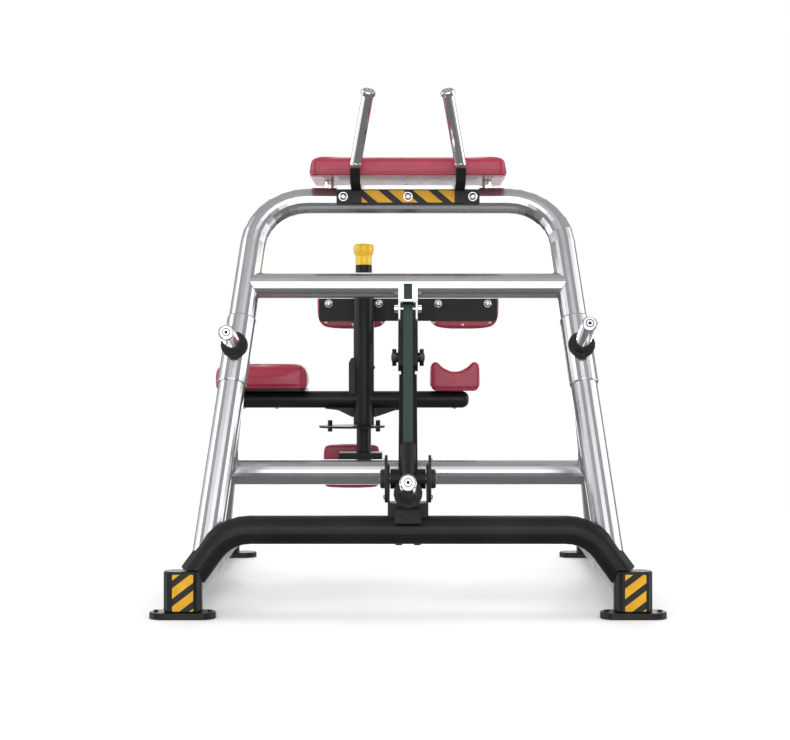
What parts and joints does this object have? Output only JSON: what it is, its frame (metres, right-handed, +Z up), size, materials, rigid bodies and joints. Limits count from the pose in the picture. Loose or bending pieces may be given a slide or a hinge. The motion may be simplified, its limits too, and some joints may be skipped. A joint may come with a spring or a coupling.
{
  "type": "hip thrust machine",
  "caption": "Plate-loaded hip thrust machine: leaning tube arch with forearm pad and grips, thrust lever linked to a hanging weight pendulum, swivelling knee rest.",
  "frame": {"origin": "centre of the footprint at floor level", "axes": "+X to the right seen from the weight horn side, +Y from the weight horn back to the user, +Z up"},
  "size_m": [1.38, 1.5561, 1.3922],
  "materials": {
    "black_steel": "black powder coat, satin",
    "green_black_steel": "dark green-black powder coat, satin",
    "silver_steel": "silver metallic paint, semi-gloss",
    "chrome": "polished chrome plate",
    "rubber": "matte black rubber",
    "wine_leather": "wine red upholstery, semi-gloss",
    "yellow_plastic": "glossy yellow plastic",
    "bare_steel": "ground steel",
    "dark_steel": "blackened steel",
    "dark_iron": "painted cast housing"
  },
  "bodies": {
    "frame": {"arch_tube": "silver_steel", "base_bar": "black_steel", "bump_stop": "rubber", "carrier_beam": "black_steel", "clevis_bolt": "chrome", "foot_column_left": "black_steel", "foot_column_right": "black_steel", "foot_plate_left": "black_steel", "foot_plate_right": "black_steel", "forearm_pad": "wine_leather", "grip_left": "chrome", "grip_right": "chrome", "grip_strap_left": "black_steel", "grip_strap_right": "black_steel", "handle_plate": "black_steel", "leg_sleeve_left": "silver_steel", "leg_sleeve_right": "silver_steel", "lower_cross_tube": "silver_steel", "pad_plate": "silver_steel", "pad_spacer_left": "chrome", "pad_spacer_right": "chrome", "pivot_bearing_left": "dark_iron", "pivot_bearing_right": "dark_iron", "rear_foot_left": "black_steel", "rear_foot_right": "black_steel", "rear_leg_left": "silver_steel", "rear_leg_right": "silver_steel", "sector_plate": "black_steel", "shin_board": "black_steel", "shin_pad": "wine_leather", "side_rail_left": "black_steel", "side_rail_right": "black_steel", "storage_collar_left": "rubber", "storage_collar_right": "rubber", "storage_horn_left": "chrome", "storage_horn_right": "chrome", "swivel_post": "black_steel", "top_clevis": "silver_steel", "upper_cross_tube": "silver_steel", "yoke": "black_steel"},
    "thrust_arm": {"thrust_lever": "black_steel", "pivot_shaft": "bare_steel", "link_pin": "chrome", "hip_plate": "black_steel", "hip_pad_left": "wine_leather", "hip_pad_right": "wine_leather"},
    "link": {"push_link": "black_steel"},
    "pendulum": {"pendulum_bar": "green_black_steel", "pendulum_foot": "black_steel", "link_shaft": "dark_steel", "weight_collar": "rubber", "weight_horn": "chrome"},
    "knee_rest": {"swivel_sleeve": "black_steel", "knee_arm_left": "black_steel", "knee_arm_right": "black_steel", "knee_board": "black_steel", "knee_pad": "wine_leather", "cup_pad": "wine_leather"},
    "lock": {"lock_knob": "yellow_plastic"}
  },
  "joints": [
    {"name": "thrust_hinge", "type": "hinge", "parent": "frame", "child": "thrust_arm", "pos_m": [0, -0.4843, 0.355], "axis": [1, 0, 0], "range_deg": [0, 8]},
    {"name": "pendulum_hinge", "type": "hinge", "parent": "frame", "child": "pendulum", "pos_m": [0, -0.2793, 0.806], "axis": [1, 0, 0], "range_deg": [-20.7, 0]},
    {"name": "link_hinge", "type": "hinge", "parent": "thrust_arm", "child": "link", "pos_m": [0, -0.0443, 0.68], "axis": [1, 0, 0], "range_deg": [-0.5, 0.5]},
    {"name": "knee_swivel", "type": "hinge", "parent": "frame", "child": "knee_rest", "pos_m": [-0.131, 0.0557, 0.4758], "axis": [0, 0, 1], "range_deg": [0, 75]},
    {"name": "lock_pull", "type": "slide", "parent": "frame", "child": "lock", "axis": [0, 0, 1], "range_m": [0, 0.015], "stiffness_N_per_m": 600}
  ],
  "couplings": [
    {"joint": "pendulum_hinge", "follows": "thrust_hinge", "ratio": -2.58},
    {"joint": "link_hinge", "follows": "thrust_hinge", "ratio": 0.03}
  ]
}
